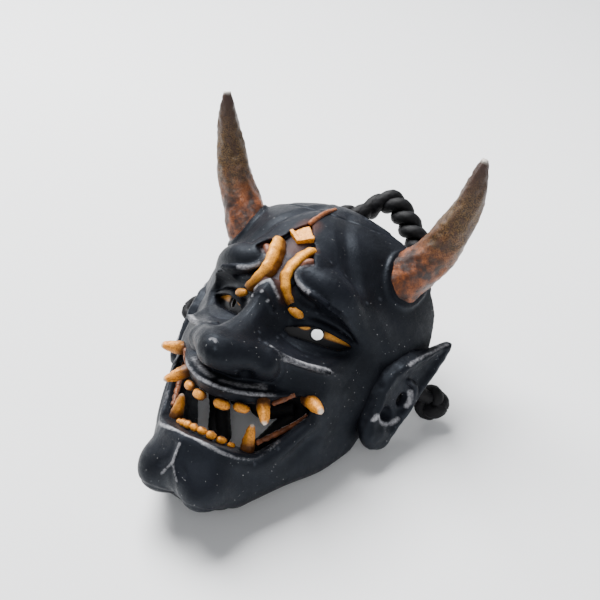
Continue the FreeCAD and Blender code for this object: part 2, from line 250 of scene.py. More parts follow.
SHELF = ((0, -15.6, 1.0), (2.8, -14.2, 1.0), (5.0, -10.6, 1.0), (6.6, -6.8, 0.9), (9.5, -4.4, 0.6),
         (14.2, -1.5, 0.1), (17.5, 1.6, 0.2), (20.8, 4.8, 1.2), (24.0, 8.6, 1.6))
RIDGE = ((0, -18.0, -0.6), (3.0, -16.6, -0.6), (5.4, -12.8, -0.5), (7.2, -9.8, -0.3), (9.6, -9.6, -0.7),
         (11.7, -9.2, -1.1), (14.0, -7.2, -1.5), (17.0, -4.0, -1.7), (21.6, 0.9, -1.5),
         (24.0, 4.4, -1.2))
RIDGE_FOOT = ((0, -20.8, -2.2), (3.2, -19.4, -2.2), (5.8, -15.4, -2.2), (8.0, -12.0, -2.2),
              (10.4, -10.0, -2.3), (12.2, -7.6, -2.6), (14.0, -5.4, -2.9), (17.0, -2.4, -3.0),
              (21.6, 1.9, -2.8), (24.0, 5.0, -2.5))
NOSE_TIP = ((0, -22.2, -5.6), (3.4, -20.8, -5.6), (6.0, -16.6, -5.4), (8.2, -12.6, -5.0),
            (10.6, -9.6, -4.9), (12.2, -7.0, -5.0), (14.0, -4.9, -5.2), (17.0, -2.1, -5.4),
            (21.6, 2.2, -5.2), (24.0, 5.2, -5.0))
NOSE_BASE = ((0, -19.6, -9.0), (3.4, -17.8, -9.0), (6.0, -13.6, -8.0), (8.2, -10.6, -7.6),
             (10.8, -8.2, -7.2), (12.2, -6.2, -7.2), (14.0, -4.7, -7.4), (17.0, -2.2, -7.4),
             (21.6, 2.3, -7.2), (24.0, 5.2, -7.0))
UNDER_NOSE = ((0, -10.6, -10.2), (3.4, -10.2, -10.2), (6.2, -8.6, -9.4), (8.4, -7.8, -8.8),
              (10.8, -6.6, -8.4), (12.6, -5.6, -8.6), (14.0, -4.9, -8.8), (17.0, -2.6, -8.7),
              (21.6, 2.2, -8.5), (24.0, 5.2, -8.4))
LIP_LINE = ((0, -16.4, -13.5), (3.5, -15.4, -13.4), (7.1, -12.8, -12.9), (9.5, -11.4, -12.1),
            (13.0, -7.4, -11.0), (17.0, -2.2, -9.8), (21.6, 2.4, -9.6), (24.0, 5.2, -9.6))
LIP_FOOT = ((0, -15.0, -14.8), (3.5, -14.2, -14.7), (7.1, -11.6, -14.2), (9.5, -10.0, -13.4),
            (13.0, -6.2, -12.2), (17.0, -1.4, -10.8), (21.6, 2.6, -10.6), (24.0, 5.4, -10.6))
GUM = ((0, -12.6, -17.2), (3.5, -11.8, -17.0), (7.1, -9.2, -16.4), (9.5, -8.2, -15.6),
       (13.0, -5.0, -14.2), (17.0, -1.0, -12.4), (21.6, 2.7, -12.2), (24.0, 5.5, -12.2))
CRESTS = (
    # Each ridge's path from the middle of the face outward, and how thick it is.
    (((0, -19.2, -28.0), (0, -19.6, -31.4), (0, -19.4, -33.4)), 0.6),
    (((0, -19.5, -33.2), (1.2, -19.2, -35.4), (2.2, -18.4, -37.0)), 0.5),
    (((0, -4.0, 15.0), (1.9, -3.9, 13.6), (3.5, -3.0, 11.6)), 0.6),
    (((0, -6.1, 11.7), (2.2, -5.5, 9.9), (3.5, -4.2, 8.4)), 0.6),
    (((0, -18.3, -26.4), (2.3, -17.7, -26.3), (5.8, -16.2, -26.7), (9.6, -13.2, -27.2),
      (12.6, -9.2, -27.1), (14.8, -5.8, -25.7), (16.9, -2.8, -21.5), (19.6, 0.9, -15.6)), 0.8),
    (((0, -15.6, -13.1), (3.2, -15.0, -13.1), (6.4, -12.8, -12.8), (10.1, -10.2, -11.9),
      (13.1, -6.8, -10.8), (16.6, -2.4, -9.4)), 0.65),
    (((7.4, -9.0, 0.2), (9.6, -9.4, -0.8), (11.7, -9.0, -1.1), (14.0, -7.0, -1.5), (17.0, -3.8, -1.7),
      (21.6, 1.1, -1.5)), 0.6),
    (((6.4, 0.2, 21.6), (5.3, -0.9, 20.2), (5.2, -1.5, 18.8), (6.3, -2.0, 17.3), (8.4, -2.3, 16.0),
      (12.3, -2.2, 15.0), (15.6, -0.9, 14.2)), 0.75),
)
FACE_LINES = (BROW_EDGE, LID_CREASE, UPPER_LID, LOWER_LID, FOLD, SHELF, RIDGE, RIDGE_FOOT, NOSE_TIP,
              NOSE_BASE, UNDER_NOSE, LIP_LINE, LIP_FOOT, GUM)


def line_at(line, x):
    """The y and z of a line across the face at each x."""
    points = resample(line)
    return np.interp(x, points[:, 0], points[:, 1]), np.interp(x, points[:, 0], points[:, 2])


def skin_depth(x, z, lines):
    """For every x and z, the y of a smooth skin through lines that are listed from top to bottom."""
    found = [line_at(line, x) for line in lines[::-1]]
    heights = np.array([height for _, height in found]).T
    depths = np.array([depth for depth, _ in found]).T
    steps = np.diff(heights, axis=1)
    rises = np.diff(depths, axis=1) / steps
    before, after = rises[:, :-1], rises[:, 1:]
    same_way = before * after > 0
    inner = np.where(same_way, 2 * before * after / np.where(same_way, before + after, 1.0), 0.0)
    slopes = np.concatenate([rises[:, :1], inner, rises[:, -1:]], axis=1)
    skin = np.empty((len(x), len(z)), np.float32)
    for i in range(len(x)):
        k = np.clip(np.searchsorted(heights[i], z) - 1, 0, len(lines) - 2)
        step = steps[i][k]
        t = np.clip((z - heights[i][k]) / step, 0.0, 1.0)
        skin[i] = hermite(t, depths[i][k], depths[i][k + 1], step * slopes[i][k],
                          step * slopes[i][k + 1])
    return soften(skin)


def soften(depth):
    """Averages each value with its four neighbours."""
    padded = np.pad(depth, 1, mode="edge")
    beside = padded[:-2, 1:-1] + padded[2:, 1:-1] + padded[1:-1, :-2] + padded[1:-1, 2:]
    return (padded[1:-1, 1:-1] * 2 + beside) / 6


def block_out(clay):
    """Brow, cheek, nose, muzzle, lips and chin."""
    clay.value = head_distance(clay)
    brow = [(7.4, 2.2, 21.4, 3.4), (9.4, 1.4, 18.7, 4.0), (13.4, 2.8, 17.8, 4.4), (17.4, 6.4, 16.2, 4.2),
            (21.0, 13.0, 13.0, 3.6), (24.5, 20.0, 9.0, 2.6)]
    clay.add(tube(clay, brow, 5.0), 5.0)
    cheek = [(9.0, -2.6, -4.4, 3.6), (13.6, -1.6, -6.0, 4.3), (17.4, 3.2, -6.6, 4.3),
             (20.4, 9.6, -6.8, 4.0)]
    clay.add(tube(clay, cheek, 4.0), 4.0)
    muzzle = blob(clay, (0, -3.6, -10.4), (13.4, 9.4, 5.8), soft=4.0)
    clay.add(muzzle, 4.0)


def shape_face(clay):
    """Everything between the brow and the gum, with the sharp edges of the brow, cheek and lip."""
    span, x, y, z = clay.window((0.0, -30.0, -18.4), (24.2, 16.0, 19.6))
    across, up = x[:, 0, 0], z[0, 0, :]
    depth = skin_depth(across, up, FACE_LINES)
    slope_x, slope_z = np.gradient(depth, clay.voxel)
    skin = (depth[:, None, :] - y) / np.sqrt(1 + slope_x ** 2 + slope_z ** 2)[:, None, :]
    top = line_at(BROW_EDGE, across)[1][:, None, None]
    low = line_at(GUM, across)[1][:, None, None]
    share = np.clip((top + 0.6 - z) / 1.2, 0.0, 1.0) * np.clip((z - low + 1.0) / 1.5, 0.0, 1.0)
    share = share * np.clip((24.0 - x) / 3.5, 0.0, 1.0)
    clay.value[span] += (skin - clay.value[span]) * share.astype(np.float32)
    under_eye = [(7.6, -0.8, 2.4), (10.0, 0.0, 1.7), (13.2, 0.9, 1.2), (17.5, 3.8, 1.7),
                 (21.1, 8.4, 3.6)]
    clay.crease(under_eye, 0.8, 0.6)
    over_lid = [(7.4, 1.3, 8.3), (10.0, 2.4, 9.5), (13.6, 4.6, 10.0), (17.4, 7.8, 9.4),
                (21.0, 11.4, 7.8)]
    clay.crease(over_lid, 0.9, 0.5)


def shape_nose(clay):
    """The wing and the nostril, and the crease where the wing meets the cheek."""
    clay.add(blob(clay, (9.2, -8.2, -4.6), (3.2, 4.8, 3.3), turn_z=25, soft=2.6), 2.6)
    flare = [(0, -18.6, -4.6, 3.6), (4.6, -15.6, -3.9, 3.2), (8.4, -10.8, -4.0, 3.0)]
    clay.add(tube(clay, flare, 2.4), 2.4)
    clay.cut(blob(clay, (6.6, -12.4, -8.8), (2.0, 3.0, 2.2), turn_z=25, soft=0.8), 0.8)
    wing_edge = [(9.4, -10.2, -1.4), (12.0, -8.6, -3.0), (12.6, -6.8, -5.4), (11.4, -6.4, -8.4)]
    clay.crease(wing_edge, 1.2, 0.9)


def shape_mouth(clay):
    """The cheek behind the corner of the mouth, and the lower lip."""
    cheek = [(15.6, 1.2, -10.4, 3.6), (18.8, 6.8, -13.0, 3.8), (19.6, 8.6, -19.0, 3.8)]
    clay.add(tube(clay, cheek, 4.0), 4.0)
    lower_lip = [(0, -17.6, -27.8, 2.2), (7.0, -13.9, -28.2, 2.2), (13.0, -5.8, -28.4, 2.2),
                 (17.4, -1.0, -22.4, 2.0), (20.4, 3.2, -15.4, 1.6)]
    clay.add(tube(clay, lower_lip, 2.4), 2.4)


def shape_chin(clay):
    """The jutting chin, split by a cleft, and the jaw line up to the ear."""
    clay.add(blob(clay, (0, -12.0, -33.4), (7.5, 7.8, 7.4), soft=3.0), 3.0)
    clay.add(blob(clay, (6.2, -10.2, -35.6), (6.6, 9.2, 7.2), turn_x=28, soft=3.5), 3.5)
    jaw = [(9.5, -3.5, -35.5, 5.4), (15.5, 4.5, -28.6, 5.0), (20.3, 13.5, -24.2, 4.4),
           (22.8, 19.5, -19.5, 4.2)]
    clay.add(tube(clay, jaw, 5.0), 5.0)
    clay.crease([(0, -20.4, -34.0), (0.6, -20.0, -36.8), (1.4, -17.6, -40.5)], 1.6, 1.4)
    clay.crease([(1.6, -20.2, -29.4), (1.5, -20.4, -32.6), (3.4, -19.6, -35.0)], 1.2, 0.9)


def shape_forehead(clay):
    """A sunken field for the gilt scrolls, with a crisp edge, and the soft groove at the temple."""
    x, y, z = everywhere(clay)
    above = half_plane(x, z, (0.0, 33.2), (10.9, 8.6))
    lowest = np.interp(x[:, 0, 0], (0.0, 4.8, 5.4, 6.4, 8.6), (15.6, 15.6, 19.8, 20.9, 22.2))
    field = np.maximum(above, (lowest[:, None, None] - z) * 0.7)
    sunk = np.maximum(field, -clay.value - 1.4).astype(np.float32)
    clay.keep(-sunk, 0.4)
    temple = [(4.7, 19.3, 39.2), (9.3, 10.8, 32.9), (16.0, 8.4, 23.4), (22.0, 7.4, 17.8),
              (27.3, 12.4, 11.0), (29.4, 17.4, 5.4), (32.0, 24.0, -0.5)]
    clay.crease(temple, 3.4, 1.0)


def fold_the_brow(clay):
    """The deep fold that the brow's hook curls around."""
    hook = [(4.3, -0.6, 20.0), (4.5, -0.9, 17.8), (5.9, -0.8, 15.8), (8.0, 0.0, 14.0), (11.4, 1.2, 13.0)]
    clay.crease(hook, 1.5, 2.0)


def ring_the_horn(clay):
    """A swollen collar of skin around the root of the horn, and the groove in front of it."""
    span, sleeve = tube(clay, [(21.5, 23, 21, 6.2), (25.2, 22, 28, 7.2), (27.4, 21.4, 31.2, 6.8)])
    collar = np.maximum(sleeve, clay.value[span] - 0.9)
    clay.value[span] = smooth_union(clay.value[span], collar, 0.8)
    groove = [(30.4, 15.6, 20.6), (27.0, 13.6, 21.8), (24.4, 12.6, 24.4), (23.4, 13.2, 28.4)]
    clay.crease(groove, 0.9, 0.5)


def raise_crests(clay):
    """Thin sharp ridges: the Y on the chin, the frown between the brows, the lips and the cheeks."""
    for path, height in CRESTS:
        clay.add(tube(clay, [(*point, height) for point in path], 0.6), 0.6)


def half_plane(u, v, point, normal):
    """Distance beyond a straight line through a point, along its outward normal."""
    length = math.hypot(*normal)
    return ((u - point[0]) * normal[0] + (v - point[1]) * normal[1]) / length


def everywhere(clay):
    """The three coordinate arrays of the whole grid."""
    x, y, z = clay.axes
    return x[:, None, None], y[None, :, None], z[None, None, :]


def open_eyes(clay):
    """Cuts the gap between the lids."""
    x, y, z = everywhere(clay)
    across = x[:, 0, 0]
    upper = np.interp(across, (6.8, 8.4, 10.5, 13.2, 16.4, 19.9, 21.4),
                      (4.7, 6.2, 7.1, 7.7, 7.4, 6.6, 6.0))
    lower = np.interp(across, (6.8, 8.2, 10.5, 12.2, 15.5, 19.1, 21.4),
                      (4.7, 3.7, 3.6, 3.7, 3.7, 4.1, 6.0))
    slot = np.maximum(z - upper[:, None, None], lower[:, None, None] - z)
    slot = np.maximum(slot, np.maximum(6.8 - x, x - 21.4)) + 0.0 * y
    clay.keep(-slot.astype(np.float32), 0.5)


def open_mouth(clay):
    """A grin open right through the shell, wide at the lower lip and pulled up at the corners."""
    x, y, z = everywhere(clay)
    across = x[:, 0, 0]
    upper = np.interp(across, (0, 7.0, 11.0, 14.0, 17.0, 19.0), (-16.2, -15.6, -14.0, -11.6, -9.4, -9.4))
    lower = np.where(x < 12.5, -26.2, -26.2 + 12.6 * np.clip((x - 12.5) / 7.3, 0.0, 1.0) ** 1.15)
    gap = np.maximum(z - upper[:, None, None], (lower - z) * np.where(x < 12.5, 1.0, 0.55))
    gap = np.maximum(gap, (x - 19.8) * 0.8).astype(np.float32)
    clay.keep(-gap, 0.6)


def hollow_out(clay):
    """Hollows the head, but for bosses behind the horn and the eye, and trims it to the back rim."""
    hollow = head_distance(clay, WALL)
    horn_boss = blob(clay, (24.0, 21.5, 24.0), (9.5, 8.5, 9.5))
    eye_boss = blob(clay, (14.2, 8.4, 5.6), (10.0, 5.0, 6.0), 22)
    for span, distance in (horn_boss, eye_boss):
        hollow[span] = np.maximum(hollow[span], -distance)
    clay.keep(-hollow, 1.0)
    heights = clay.axes[2]
    rim = np.interp(heights, *RIM_LINE)
    slant = np.where(heights > -4.0, 1.0, 0.85)
    behind = (clay.axes[1][None, :, None] - rim) * slant
    clay.keep(behind.astype(np.float32), 0.5)


def level_the_chin(clay):
    """The underside of the chin is flat where it stands on the table."""
    x, y, z = everywhere(clay)
    under = y * math.sin(LEAN) - z * math.cos(LEAN) - TABLE_REACH + 0.0 * x
    clay.keep(under.astype(np.float32), 0.5)


def drill_cord_holes(clay):
    """The hole that the cord comes out through."""
    clay.cut(tube(clay, [(26.0, HOLE_Y, HOLE_Z, HOLE_R), (40.0, HOLE_Y, HOLE_Z, HOLE_R)]), 0.2)


def sculpt(voxel):
    """The right half of the whole face."""
    clay = Clay((0.0, -30.0, -48.0), (42.0, 34.0, 45.0), voxel)
    block_out(clay)
    shape_mouth(clay)
    shape_face(clay)
    shape_forehead(clay)
    shape_nose(clay)
    shape_chin(clay)
    fold_the_brow(clay)
    ring_the_horn(clay)
    raise_crests(clay)
    open_eyes(clay)
    open_mouth(clay)
    hollow_out(clay)
    drill_cord_holes(clay)
    level_the_chin(clay)
    return clay


# ---- materials
def shader_of(name):
    """A new material with its node tree and its shader."""
    material = bpy.data.materials.new(name)
    material.use_nodes = True
    tree = material.node_tree
    return material, tree, tree.nodes["Principled BSDF"]


def noise(tree, scale, detail=6.0, rough=0.6, stretch=None):
    """A procedural noise in the object's own metres, scaled to so many lumps per millimetre."""
    where = tree.nodes.new("ShaderNodeTexCoord").outputs["Object"]
    if stretch:
        mapping = tree.nodes.new("ShaderNodeMapping")
        mapping.inputs["Scale"].default_value = stretch
        tree.links.new(where, mapping.inputs["Vector"])
        where = mapping.outputs["Vector"]
    texture = tree.nodes.new("ShaderNodeTexNoise")
    texture.inputs["Scale"].default_value = scale * 1000.0
    texture.inputs["Detail"].default_value = detail
    texture.inputs["Roughness"].default_value = rough
    tree.links.new(where, texture.inputs["Vector"])
    return texture.outputs["Fac"]


def ramp(tree, value, low, high):
    """Stretches the range from low to high over 0 to 1."""
    node = tree.nodes.new("ShaderNodeMapRange")
    node.inputs["From Min"].default_value = low
    node.inputs["From Max"].default_value = high
    tree.links.new(value, node.inputs["Value"])
    return node.outputs["Result"]


def times(tree, a, b, how="MULTIPLY"):
    """Two values multiplied, or joined in another way, and kept between 0 and 1."""
    node = tree.nodes.new("ShaderNodeMath")
    node.operation = how
    node.use_clamp = True
    for slot, value in zip(node.inputs, (a, b)):
        if isinstance(value, float):
            slot.default_value = value
        else:
            tree.links.new(value, slot)
    return node.outputs["Value"]


def blend(tree, share, a, b):
    """Mixes two colours, each a tuple or the output of another node."""
    node = tree.nodes.new("ShaderNodeMix")
    node.data_type = "RGBA"
    for slot, value in ((node.inputs["A"], a), (node.inputs["B"], b)):
        if isinstance(value, tuple):
            slot.default_value = (*value, 1)
        else:
            tree.links.new(value, slot)
    if isinstance(share, float):
        node.inputs["Factor"].default_value = share
    else:
        tree.links.new(share, node.inputs["Factor"])
    return node.outputs["Result"]


def attribute(tree, name):
    """A number stored with every point of the mesh."""
    node = tree.nodes.new("ShaderNodeAttribute")
    node.attribute_name = name
    return node.outputs["Fac"]


def pointiness(tree):
    """How sharply the surface bends: over 0.5 on edges and under it in hollows."""
    return tree.nodes.new("ShaderNodeNewGeometry").outputs["Pointiness"]


def bump(tree, shader, height, strength, distance):
    """Fine relief, with its height in millimetres."""
    node = tree.nodes.new("ShaderNodeBump")
    node.inputs["Strength"].default_value = strength
    node.inputs["Distance"].default_value = distance * 0.001
    tree.links.new(height, node.inputs["Height"])
    tree.links.new(node.outputs["Normal"], shader.inputs["Normal"])


def black_paint():
    """Matte blue-black paint, put on unevenly with a brush and rubbed with grey along the edges; the grey
    also lays a painted highlight on the tip of the nose, and the sheen is turned down in hollows as
    painted shade.
    """
    material, tree, shader = shader_of("black_cast")
    patches = ramp(tree, noise(tree, 0.06), 0.35, 0.7)
    colour = blend(tree, patches, (0.003, 0.0033, 0.0048), (0.0085, 0.0095, 0.0135))
    edge = ramp(tree, pointiness(tree), 0.53, 0.66)
    grain = ramp(tree, noise(tree, 0.9, 8.0, 0.75), 0.3, 0.75)
    colour = blend(tree, times(tree, times(tree, edge, grain), 0.55), colour, (0.09, 0.10, 0.12))
    broken = ramp(tree, noise(tree, 1.1, 8.0, 0.85), 0.30, 0.66)
    # grey rubbed along the ridges, and a painted highlight on the tip of the nose
    brushed_and_highlit = times(tree, attribute(tree, "brushed_and_highlit"), broken)
    colour = blend(tree, ramp(tree, brushed_and_highlit, 0.10, 0.52), colour, (0.34, 0.34, 0.36))
    colour = blend(tree, ramp(tree, attribute(tree, "stain_and_shade"), 0.25, 0.9), colour, (0.050, 0.020, 0.014))
    specks = ramp(tree, noise(tree, 1.6, 2.0, 0.5), 0.735, 0.75)
    colour = blend(tree, times(tree, specks, 0.6), colour, (0.5, 0.5, 0.5))
    tree.links.new(colour, shader.inputs["Base Color"])
    tree.links.new(ramp(tree, noise(tree, 0.5), -0.6, 1.6), shader.inputs["Roughness"])
    shader.inputs["Specular Tint"].default_value = (0.72, 0.84, 1.0, 1)
    # painted shade: less sheen in the hollows and creases, where shade falls
    clear_of_painted_shade = ramp(tree, pointiness(tree), 0.43, 0.51)
    tree.links.new(times(tree, clear_of_painted_shade, 0.22), shader.inputs["Specular IOR Level"])
    leathery = times(tree, noise(tree, 0.5, 8.0, 0.8, (1.0, 1.0, 0.4)), 0.9)
    bump(tree, shader, times(tree, noise(tree, 1.8, 8.0, 0.7), leathery, "ADD"), 0.55, 0.22)
    return material


def gilt(name, bright, dull, wash):
    """Gold paint over a dark ground, which shows in worn spots; every hollow is darkened toward the same
    dark colour as painted shade.
    """
    material, tree, shader = shader_of(name)
    colour = blend(tree, ramp(tree, noise(tree, 2.6, 6.0, 0.7), 0.36, 0.58), dull, bright)
    # painted shade: the gold darkens in hollows, where shade falls, more so where it is also worn
    hollow = ramp(tree, pointiness(tree), 0.52, 0.44)
    worn = ramp(tree, noise(tree, 2.2, 8.0, 0.7), 0.56, 0.70)
    colour = blend(tree, times(tree, hollow, times(tree, worn, 0.35, "ADD")), colour, wash)
    colour = blend(tree, times(tree, worn, 0.45), colour, wash)
    # stains, and painted shade where a piece marks it
    colour = blend(tree, attribute(tree, "stain_and_shade"), colour, wash)
    colour = blend(tree, attribute(tree, "pale"), colour, (0.75, 0.70, 0.60))
    tree.links.new(colour, shader.inputs["Base Color"])
    shader.inputs["Metallic"].default_value = 0.12
    shader.inputs["Roughness"].default_value = 0.45
    shader.inputs["Specular IOR Level"].default_value = 0.28
    bump(tree, shader, noise(tree, 3.0, 8.0, 0.7), 0.5, 0.10)
    return material


def horn_bronze():
    """Bronze on the horns: burnt orange at the root, speckled olive gold above, dark at the tip."""
    material, tree, shader = shader_of("bronze_horn")
    along = attribute(tree, "along")
    pores = ramp(tree, noise(tree, 3.4, 3.0, 0.7), 0.44, 0.56)
    colour = blend(tree, pores, (0.018, 0.009, 0.005), (0.15, 0.080, 0.024))
    patches = ramp(tree, noise(tree, 0.30, 5.0, 0.6), 0.42, 0.60)
    burnt = times(tree, patches, ramp(tree, pores, -0.6, 1.0))
    root = blend(tree, burnt, (0.022, 0.008, 0.005), (0.29, 0.075, 0.012))
    colour = blend(tree, ramp(tree, along, 0.60, 0.30), colour, root)
    colour = blend(tree, ramp(tree, along, 0.70, 0.96), colour, (0.035, 0.015, 0.010))
    streaks = ramp(tree, noise(tree, 0.5, 6.0, 0.6, (1.0, 1.0, 0.35)), 0.50, 0.68)
    colour = blend(tree, times(tree, streaks, 0.8), colour, (0.05, 0.022, 0.014))
    colour = blend(tree, attribute(tree, "stain_and_shade"), colour, (0.012, 0.007, 0.006))
    colour = blend(tree, attribute(tree, "pale"), colour, (0.7, 0.66, 0.6))
    tree.links.new(colour, shader.inputs["Base Color"])
    shader.inputs["Metallic"].default_value = 0.15
    shader.inputs["Roughness"].default_value = 0.42
    bump(tree, shader, noise(tree, 2.2, 8.0, 0.8), 0.8, 0.25)
    return material


def cord_black():
    """Dull black braided cord."""
    material, tree, shader = shader_of("black_cord")
    colour = blend(tree, noise(tree, 1.2), (0.0015, 0.0015, 0.002), (0.008, 0.008, 0.010))
    tree.links.new(colour, shader.inputs["Base Color"])
    shader.inputs["Roughness"].default_value = 0.62
    shader.inputs["Specular IOR Level"].default_value = 0.22
    bump(tree, shader, noise(tree, 5.0, 4.0, 0.6), 0.6, 0.12)
    return material


BLACK = black_paint()
BRONZE = horn_bronze()
GILT = gilt("gilt", (1.0, 0.43, 0.04), (0.50, 0.165, 0.012), (0.035, 0.010, 0.005))
CURL = gilt("gilt_curl", (0.22, 0.085, 0.05), (0.13, 0.05, 0.03), (0.04, 0.016, 0.011))
TOOTH = gilt("old_gold_tooth", (0.85, 0.34, 0.035), (0.38, 0.12, 0.010), (0.032, 0.009, 0.005))
EYE = gilt("gilt_eye", (1.0, 0.45, 0.06), (0.60, 0.22, 0.02), (0.006, 0.006, 0.008))
COPPER = gilt("copper_wash", (0.30, 0.10, 0.035), (0.16, 0.05, 0.02), (0.03, 0.012, 0.008))
CORD = cord_black()


# ---- building the pieces
swing = next(joint for joint in frame["joints"] if joint["name"] == "cord_swing")


def to_row():
    """From the mask frame in millimetres to the leaning object on its table in metres."""
    turn = Matrix.Rotation(-LEAN, 4, "X") @ Matrix.Scale(0.001, 4)
    hinge = turn @ Vector((0.0, HINGE_Y, HINGE_Z))
    return Matrix.Translation(Vector(swing["pos_m"]) - hinge) @ turn


ROW = to_row()


def piece(name, points, faces, material, nodes, body="mask"):
    """A finished piece from points in the mask frame, standing for the named parts of the design."""
    mesh = bpy.data.meshes.new(name)
    mesh.from_pydata(np.asarray(points).tolist(), [], faces)
    mesh.transform(ROW)
    mesh.shade_smooth()
    mesh.materials.append(material)
    thing = bpy.data.objects.new(name, mesh)
    bpy.context.scene.collection.objects.link(thing)
    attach(thing, body)
    for node in nodes:
        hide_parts(node)
    return thing


def surface(value, low, voxel):
    """Points and faces of the surface where the distances on a grid are 0."""
    grid = openvdb.FloatGrid(30.0)
    grid.copyFromArray(np.ascontiguousarray(value))
    points, triangles, quads = grid.convertToPolygons(isovalue=0.0, adaptivity=0.0)
    faces = [tuple(f[::-1]) for f in triangles.tolist()] + [tuple(f[::-1]) for f in quads.tolist()]
    return points * voxel + np.array(low), faces


def skin(clay, both_halves):
    """A mesh of the clay's surface; one half of a face is mirrored across the middle."""
    value = clay.value
    low = [clay.axes[0][0], clay.axes[1][0], clay.axes[2][0]]
    if both_halves:
        value = np.concatenate([value[:0:-1], value], axis=0)
        low[0] = -clay.axes[0][-1]
    return surface(value, low, clay.voxel)


def mark(thing, name, values):
    """Stores one number per point for the material to read."""
    layer = thing.data.attributes.new(name, "FLOAT", "POINT")
    layer.data.foreach_set("value", np.asarray(values, np.float32))


def pair(node, points, faces, material, marks=None):
    """The same piece on both sides of the face, with numbers for its material to read."""
    for side, sign in (("_right", 1), ("_left", -1)):
        turned = [tuple(f[::sign]) for f in faces]
        thing = piece("shown_" + node + side, points * (sign, 1, 1), turned, material, [node + side])
        for label, values in (marks or {}).items():
            mark(thing, label, values)


def rings(path, around, step, shape=None):
    """Points of a bar swept along a path of (x, y, z, radius), and each ring's distance along it."""
    course = resample(path, 16)
    lengths = np.concatenate([[0], np.cumsum(np.linalg.norm(np.diff(course[:, :3], axis=0), axis=1))])
    count = max(int(lengths[-1] / step), 4)
    travel = np.linspace(0, lengths[-1], count)
    course = np.array([np.interp(travel, lengths, course[:, k]) for k in range(4)]).T
    tangent = np.gradient(course[:, :3], axis=0)
    tangent /= np.linalg.norm(tangent, axis=1)[:, None]
    side = np.cross(tangent[0], (0.0, 0.31, 0.95))
    side /= np.linalg.norm(side)
    turn = np.linspace(0, 2 * math.pi, around, endpoint=False)
    points = []
    for i in range(count):
        side = side - tangent[i] * (side @ tangent[i])
        side /= np.linalg.norm(side)
        other = np.cross(tangent[i], side)
        radius = course[i, 3] * (1.0 if shape is None else shape(turn, travel[i]))
        sideways = (np.cos(turn) * radius)[:, None] * side
        upward = (np.sin(turn) * radius)[:, None] * other
        points.append(course[i, :3] + sideways + upward)
    return np.array(points), travel


def bar(path, around, step, shape=None):
    """Points and faces of a closed bar, and how far along it each point is, from 0 to 1."""
    loops, travel = rings(path, around, step, shape)
    count = len(loops)
    points = np.vstack([loops.reshape(-1, 3), loops[0].mean(0), loops[-1].mean(0)])
    faces = []
    for i in range(count - 1):
        for j in range(around):
            k = (j + 1) % around
            faces.append((i * around + j, i * around + k, (i + 1) * around + k, (i + 1) * around + j))
    first, last = count * around, count * around + 1
    for j in range(around):
        k = (j + 1) % around
        faces.append((first, k, j))
        faces.append((last, (count - 1) * around + j, (count - 1) * around + k))
    along = np.concatenate([np.repeat(travel / travel[-1], around), [0.0, 1.0]])
    return points, faces, along


def flanks(points, around, outward):
    """How far each point of a bar lies down its sides: 0 along the crest and 1 at the foot."""
    loops = points[:-2].reshape(-1, around, 3)
    rise = (loops - loops.mean(axis=1, keepdims=True)) @ np.array(outward)
    share = rise / rise.max(axis=1, keepdims=True)
    return np.append(np.clip((0.84 - share.ravel()) / 0.44, 0, 1), (1.0, 1.0))


def roughened(points, size, height, seed):
    """Points moved by a soft noise, with bumps of the given size and height in millimetres."""
    out = np.array(points, float)
    for p in out:
        p += height * np.array(noise_vector(Vector(p) / size + Vector((seed, 0, 0))))
    return out


# ---- the cast face
RUBBED_AND_HIGHLIT = (
    # Where grey has been rubbed on, and a painted highlight on the tip of the nose: a path in the mask
    # frame, its width and its strength.
    (((0, -18.8, -26.4), (2.3, -18.1, -26.3), (5.8, -16.9, -26.8), (9.6, -13.9, -27.5),
      (12.6, -9.6, -27.4), (14.8, -6.1, -25.9), (16.9, -3.1, -21.5)), 0.5, 1.0),
    (((0, -16.2, -13.2), (3.2, -15.4, -13.2), (6.4, -13.1, -12.9), (10.1, -10.7, -12.0),
      (13.1, -7.0, -10.9)), 0.5, 0.9),
    (((9.0, -9.6, -0.6), (10.9, -9.4, -1.3), (13.8, -7.0, -1.6), (18.1, -2.4, -1.5), (21.4, 1.6, -1.3)),
     0.75, 1.1),
    (((21.4, 1.6, -1.3), (23.5, 5.0, -1.0), (25.5, 9.0, -0.6)), 0.6, 0.5),
    (((5.2, -1.0, 20.4), (5.1, -1.6, 18.8), (6.2, -2.2, 17.3), (8.4, -2.6, 16.0), (10.5, -2.6, 15.4)),
     0.6, 0.9),
    (((0, -20.0, -28.6), (0, -20.2, -31.4), (0, -20.0, -33.4)), 0.45, 0.7),
    (((0, -20.0, -33.2), (1.2, -19.8, -35.4), (2.2, -19.0, -37.0)), 0.4, 0.6),
    # painted highlight: a small pale spot on the tip of the nose, where the light glints
    (((0.4, -22.4, -2.4), (0.8, -22.3, -2.7)), 0.55, 0.8),
    (((0, -4.4, 15.0), (1.9, -4.3, 13.6), (3.5, -3.4, 11.6)), 0.5, 0.9),
    (((0, -6.5, 11.7), (2.2, -5.9, 9.9)), 0.5, 0.8),
    (((1.4, -13.6, -11.4), (6.0, -11.4, -11.0), (10.4, -8.6, -9.8)), 1.2, 0.55),
)
WASHED = (
    # Where brown wash has pooled around the gilt relief.
    (((4.6, 2.6, 25.4), (3.0, 0.8, 22.6), (1.9, -0.9, 19.6), (1.9, -2.0, 17.4), (3.0, -2.4, 14.9),
      (5.0, -2.1, 12.6)), 2.6, 1.0),
    (((0, 2.6, 25.0), (0, 5.2, 29.6), (0, 7.2, 32.4)), 3.6, 1.0),
    (((7.6, 1.6, 22.6), (5.6, 0.4, 21.8)), 1.8, 1.0),
)


